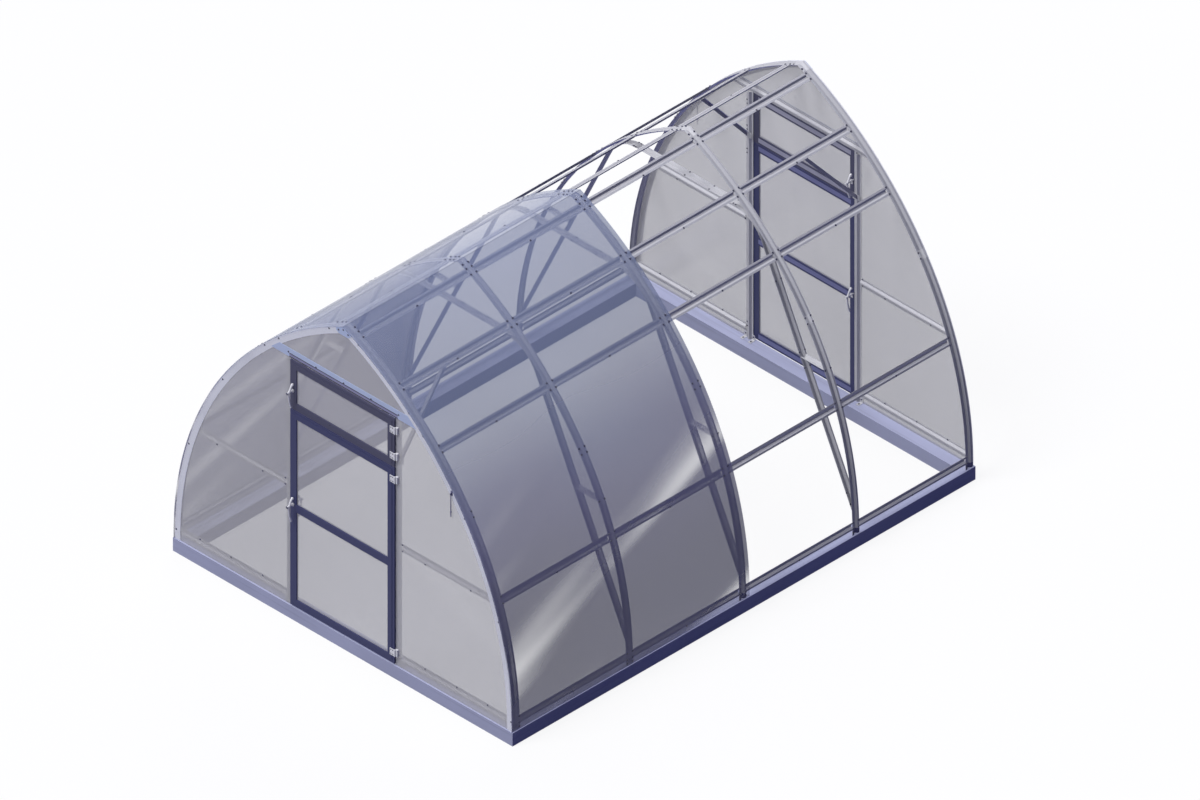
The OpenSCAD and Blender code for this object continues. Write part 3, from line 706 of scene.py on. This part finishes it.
class GREENHOUSE_OT_base(GreenhouseOperator):
    """Paint the base's timber beams"""

    bl_idname = "greenhouse.base"
    bl_label = "Paint the base"

    def execute(self, context):
        colours = context.scene.greenhouse_finishes
        groove = [part * 0.72 for part in colours.beam]
        dress(timber("Beam paint across", colours.beam, groove, None), "base_front_beam", "base_rear_beam")
        dress(timber("Beam paint along", colours.beam, groove, QUARTER), "base_left_beam", "base_right_beam")
        return {"FINISHED"}


class GREENHOUSE_OT_frame(GreenhouseOperator):
    """Coat the arches, inner frames, purlins, posts and rails"""

    bl_idname = "greenhouse.frame"
    bl_label = "Coat the frame"

    def execute(self, context):
        colours = context.scene.greenhouse_finishes
        steel = paint("Frame steel", colours.steel, (0.46, 0.46, 0.50), amount=0.2)
        dress(steel, *ARCH_NODES, *LEG_NODES, *PURLIN_NODES, "collar_ties", "leg_struts")
        dress(steel, "gable_braces", "front_posts", "front_rails", "rear_posts", "rear_rails")
        saddle = paint("Saddle steel", colours.saddle, (0.55, 0.55, 0.62), roughness=0.4, metallic=0.2)
        dress(saddle, "splice_saddles", "ridge_saddles")
        dress(paint("Shoe paint", colours.shoe, (0.16, 0.16, 0.26)), "foot_shoes")
        return {"FINISHED"}


class GREENHOUSE_OT_gables(GreenhouseOperator):
    """Coat the gables' strips and plates and glaze their sheets"""

    bl_idname = "greenhouse.gables"
    bl_label = "Finish the gables"

    def execute(self, context):
        colours = context.scene.greenhouse_finishes
        dress(paint("Strip coat", colours.strip, (0.58, 0.59, 0.66)), "front_edge_strips", "rear_edge_strips")
        lintel = lintel_paint("Lintel coat", colours.lintel, colours.lip, (0.42, 0.48, 0.68))
        dress(lintel, "front_lintel", "rear_lintel", "peak_plates")
        # The gable sheets' low colour is a little darker: painted shade low down, as on the cover
        low = [part * 0.98 for part in colours.panel]
        panel = sheet("Gable sheet", colours.panel, low, alpha=0.545, painted_light_share=0.02)
        dress(panel, "front_side_panels", "front_peak_panel", "rear_side_panels", "rear_peak_panel")
        dress(panel, "front_vent_sheet", "front_door_sheets", "rear_vent_sheet", "rear_door_sheets")
        dress(paint("Hook paint", colours.hook, (0.2, 0.2, 0.3)), "wind_hooks")
        return {"FINISHED"}


class GREENHOUSE_OT_leaves(GreenhouseOperator):
    """Paint the door and vent frames and plate their hinges and latches"""

    bl_idname = "greenhouse.leaves"
    bl_label = "Finish doors and vents"

    def execute(self, context):
        colours = context.scene.greenhouse_finishes
        # Both paints carry painted light: pale bands on the inner face of their rails
        leaf = leaf_paint("Leaf paint", colours.leaf, colours.leaf_painted_light, (0.07, 0.07, 0.15))
        vent = leaf_paint("Vent paint", colours.vent, colours.vent_painted_light, (0.09, 0.09, 0.13))
        fitting = paint("Plated fitting", colours.fitting, (0.7, 0.7, 0.74), roughness=0.35, metallic=0.1)
        for end in ENDS:
            dress(leaf, end + "_door_frame")
            dress(vent, end + "_vent_frame")
            dress(fitting, end + "_hinges", end + "_door_hinges", end + "_door_latch", end + "_vent_latch")
        return {"FINISHED"}


class GREENHOUSE_OT_cover(GreenhouseOperator):
    """Glaze the bent cover sheets"""

    bl_idname = "greenhouse.cover"
    bl_label = "Glaze the cover"

    def execute(self, context):
        colours = context.scene.greenhouse_finishes
        bent = sheet("Cover sheet", colours.cover, colours.cover_foot_painted_light, alpha=0.52, painted_light_share=0.34, turn=QUARTER)
        dress(bent, "cover_left", "cover_right")
        return {"FINISHED"}


class GREENHOUSE_OT_bolts(GreenhouseOperator):
    """Bolt the purlins, splices and ridge saddles to the arches"""

    bl_idname = "greenhouse.bolts"
    bl_label = "Bolt the frame"

    def execute(self, context):
        fixings = context.scene.greenhouse_fixings
        colour = context.scene.greenhouse_finishes.bolt
        black = paint("Blackened bolt", colour, (0.12, 0.12, 0.16), roughness=0.35, metallic=0.5)
        crossings = [rise_angle(z) for z in PURLIN_Z] + [RIDGE_A - RIDGE_PURLIN_OFF / ARCH_R]
        both = (-1.0, 1.0)
        bm = bmesh.new()
        bolt_arches(bm, crossings, [FLANGE_MID * end for end in both], fixings)
        bolt_bays(bm, crossings, fixings)
        piece("purlin_bolts", bm, black, "house")
        bm = bmesh.new()
        bolt_arches(bm, [rise_angle(SPLICE_Z)], [SPLICE_REACH * end for end in both], fixings)
        bolt_arches(bm, [RIDGE_A - RIDGE_REACH / ARCH_R, rise_angle(SHOE_Z)], [0.0], fixings)
        bolt_arches(bm, [rise_angle(STRUT_Z)], [0.0], fixings, INNER_Y)
        piece("splice_bolts", bm, black, "house")
        bm = bmesh.new()
        bolt_legs(bm, fixings)
        piece("leg_bolts", bm, black, "house")
        return {"FINISHED"}


class GREENHOUSE_OT_brackets(GreenhouseOperator):
    """Fix the door posts' feet to the base with angle brackets"""

    bl_idname = "greenhouse.brackets"
    bl_label = "Fix the posts' feet"

    def execute(self, context):
        fixings = context.scene.greenhouse_fixings
        steel = bpy.data.materials["Saddle steel"]
        black = bpy.data.materials["Blackened bolt"]
        places = [POST_X * side + fixings.bracket_off * edge for side, edge in product(SIDES, SIDES)]
        foot = Vector((0.0, -GABLE_Y - FLANGE_BACK, BASE_TOP))
        middle = fixings.bracket_l * BRACKET_BOLT_AT
        inwards, up = Vector((0.0, 1.0, 0.0)), Vector((0.0, 0.0, 1.0))
        for end, facing in ENDS.items():
            bm = bmesh.new()
            fold_brackets(bm, places, (foot.y, foot.z), fixings)
            bmesh.ops.transform(bm, matrix=gable_turn(facing), verts=bm.verts[:])
            piece(end + "_post_brackets", bm, steel, "house")
            bm = bmesh.new()
            for x in places:
                across = Vector((x, 0.0, 0.0))
                for out, along in ((inwards, up), (up, inwards)):
                    seat = foot + across + along * middle + out * fixings.bracket_t
                    stud(bm, seat, out, fixings.nut_r, fixings.bolt_h)
            bmesh.ops.transform(bm, matrix=gable_turn(facing), verts=bm.verts[:])
            piece(end + "_bracket_bolts", bm, black, "house")
        return {"FINISHED"}


class GREENHOUSE_OT_levers(GreenhouseOperator):
    """Add the bent arms of the latch levers, outside and inside"""

    bl_idname = "greenhouse.levers"
    bl_label = "Add the lever arms"

    def execute(self, context):
        fixings = context.scene.greenhouse_fixings
        fitting = bpy.data.materials["Plated fitting"]
        for (end, facing), (leaf, z) in product(ENDS.items(), LATCH_Z.items()):
            bm = bmesh.new()
            for plane, way in LEVER_FEET:
                start = Vector((LATCH_X, -GABLE_Y - plane, z))
                near, far = (Vector((0.0, -way * reach, 0.0)) for reach in (ARM_NEAR, ARM_FAR))
                lever_arm(bm, start, near, far, ARM_RISE, fixings)
            bmesh.ops.transform(bm, matrix=gable_turn(facing), verts=bm.verts[:])
            body = leaf_body(end, leaf, "latch")
            piece(f"{end}_{leaf}_lever_arms", bm, fitting, body)
        return {"FINISHED"}


class GREENHOUSE_OT_screws(GreenhouseOperator):
    """Screw the gables' strips, lintels and peak plates, the hinges, and cap the latch levers"""

    bl_idname = "greenhouse.screws"
    bl_label = "Screw the gables"

    def execute(self, context):
        fixings = context.scene.greenhouse_fixings
        black = bpy.data.materials["Blackened bolt"]
        for end, facing in ENDS.items():
            out = gable_out(facing)
            bm = bmesh.new()
            screw_gable(bm, facing, fixings)
            piece(end + "_gable_screws", bm, black, "house")
            for leaf, heights in HINGE_Z.items():
                bm = bmesh.new()
                for z, x, dz in product(heights, HINGE_SCREWS, HINGE_SCREW_DZ):
                    seat = on_gable(facing, x, z + dz, HINGE_FACE)
                    stud(bm, seat, out, fixings.hinge_screw_r, fixings.screw_h / 2)
                body = leaf_body(end, leaf, "door")
                piece(f"{end}_{leaf}_hinge_screws", bm, black, body)
                bm = bmesh.new()
                cap = on_gable(facing, LATCH_X, LATCH_Z[leaf], LATCH_FACE)
                stud(bm, cap, out, fixings.cap_r, fixings.screw_h)
                if leaf == "vent":
                    knob = on_gable(facing, *VENT_KNOB, LEAF_FACE)
                    stud(bm, knob, out, fixings.cap_r, fixings.screw_h)
                body = leaf_body(end, leaf, "latch")
                piece(f"{end}_{leaf}_lever_cap", bm, black, body)
        return {"FINISHED"}


class GREENHOUSE_OT_studio(GreenhouseOperator):
    """Set up the floor, light, world and camera"""

    bl_idname = "greenhouse.studio"
    bl_label = "Set up the studio"

    AIM = Vector((0.235, -0.007, 1.0))
    AWAY = Vector((1.0, -1.0, 1.0)).normalized()
    DISTANCE = 12.0
    VIEW_WIDTH = 7.495
    FLOOR_SHADE = 0.18

    # Where each light comes from, and its spread in degrees
    KEY = ((-0.20, -0.50, 0.84), 25.0)
    FILL = ((-0.45, 0.70, 0.50), 40.0)
    RISING = ((0.0, -0.10, -0.99), 50.0)

    def execute(self, context):
        studio = context.scene.greenhouse_studio
        self.make_floor(context, studio)
        self.make_sun(context, "key_light", studio.key, *self.KEY)
        even = self.make_sun(context, "even_light", studio.even, *self.KEY)
        even.use_shadow = False
        self.make_sun(context, "fill_light", studio.fill, *self.FILL)
        rising = self.make_sun(context, "rising_light", studio.rising, *self.RISING)
        rising.color = studio.rising_colour
        rising.use_shadow = False
        self.make_world(context, studio)
        camera = bpy.data.objects.new("camera", bpy.data.cameras.new("camera"))
        camera.data.type = "ORTHO"
        camera.data.ortho_scale = self.VIEW_WIDTH
        camera.location = self.AIM + self.AWAY * self.DISTANCE
        camera.rotation_euler = self.AWAY.to_track_quat("Z", "Y").to_euler()
        context.scene.collection.objects.link(camera)
        context.scene.camera = camera
        context.scene.view_settings.view_transform = "Standard"
        return {"FINISHED"}

    @staticmethod
    def seen_directly(tree):
        """1 for rays that show the background: camera, glossy and transmission rays."""
        path = tree.nodes.new("ShaderNodeLightPath").outputs
        shown = math_node(tree, "MAXIMUM", path["Is Camera Ray"], path["Is Glossy Ray"])
        return math_node(tree, "MAXIMUM", shown, path["Is Transmission Ray"])

    def make_floor(self, context, studio):
        bm = bmesh.new()
        bmesh.ops.create_grid(bm, x_segments=1, y_segments=1, size=studio.floor / 2)
        mesh = bpy.data.meshes.new("floor")
        bm.to_mesh(mesh)
        bm.free()
        floor = bpy.data.objects.new("floor", mesh)
        context.scene.collection.objects.link(floor)
        pale = bpy.data.materials.new("Pale floor")
        pale.use_nodes = True
        tree = pale.node_tree
        tree.nodes.clear()
        glow = add(tree, "ShaderNodeEmission", {"Color": (1.0, 1.0, 1.0, 1.0), "Strength": 1.0})
        white = add(tree, "ShaderNodeBsdfDiffuse", {"Color": (0.95, 0.95, 0.95, 1.0)})
        dull = add(tree, "ShaderNodeBsdfDiffuse", {"Color": (0.06, 0.06, 0.08, 1.0)})
        layers = {0: self.FLOOR_SHADE, 1: glow.outputs[0], 2: white.outputs[0]}
        shaded = add(tree, "ShaderNodeMixShader", layers)
        shown = self.seen_directly(tree)
        both = add(tree, "ShaderNodeMixShader", {0: shown, 1: dull.outputs[0], 2: shaded.outputs[0]})
        add(tree, "ShaderNodeOutputMaterial", {"Surface": both.outputs[0]})
        mesh.materials.append(pale)

    @staticmethod
    def make_sun(context, name, power, source, spread):
        lamp = bpy.data.lights.new(name, "SUN")
        lamp.energy = power
        lamp.angle = math.radians(spread)
        sun = bpy.data.objects.new(name, lamp)
        sun.rotation_euler = Vector(source).to_track_quat("Z", "Y").to_euler()
        context.scene.collection.objects.link(sun)
        return lamp

    def make_world(self, context, studio):
        world = bpy.data.worlds.new("studio")
        world.use_nodes = True
        tree = world.node_tree
        tree.nodes.clear()
        around = mix_colour(tree, self.seen_directly(tree), rgba(studio.ambient), (1.0, 1.0, 1.0, 1.0))
        sky = add(tree, "ShaderNodeBackground", {"Color": around, "Strength": 1.0})
        add(tree, "ShaderNodeOutputWorld", {"Surface": sky.outputs[0]})
        context.scene.world = world


STEPS = (
    GREENHOUSE_OT_base,
    GREENHOUSE_OT_frame,
    GREENHOUSE_OT_gables,
    GREENHOUSE_OT_leaves,
    GREENHOUSE_OT_cover,
    GREENHOUSE_OT_bolts,
    GREENHOUSE_OT_brackets,
    GREENHOUSE_OT_levers,
    GREENHOUSE_OT_screws,
    GREENHOUSE_OT_studio,
)


class GREENHOUSE_PT_steps(bpy.types.Panel):
    """Lists the greenhouse's steps and settings"""

    bl_idname = "GREENHOUSE_PT_steps"
    bl_label = "Greenhouse"
    bl_space_type = "VIEW_3D"
    bl_region_type = "UI"
    bl_category = "Greenhouse"

    def draw(self, context):
        for step in STEPS:
            self.layout.operator(step.bl_idname)
        for settings, kind in PROPERTY_GROUPS.items():
            box = self.layout.box()
            for name in kind.__annotations__:
                box.prop(getattr(context.scene, settings), name)


CLASSES = (*PROPERTY_GROUPS.values(), *STEPS, GREENHOUSE_PT_steps)


def register():
    for kind in CLASSES:
        bpy.utils.register_class(kind)
    for name, kind in PROPERTY_GROUPS.items():
        setattr(bpy.types.Scene, name, bpy.props.PointerProperty(type=kind))


def unregister():
    for name in PROPERTY_GROUPS:
        delattr(bpy.types.Scene, name)
    for kind in reversed(CLASSES):
        bpy.utils.unregister_class(kind)


def main():
    register()
    for step in STEPS:
        family, name = step.bl_idname.split(".")
        getattr(getattr(bpy.ops, family), name)()


if __name__ == "__main__":
    main()
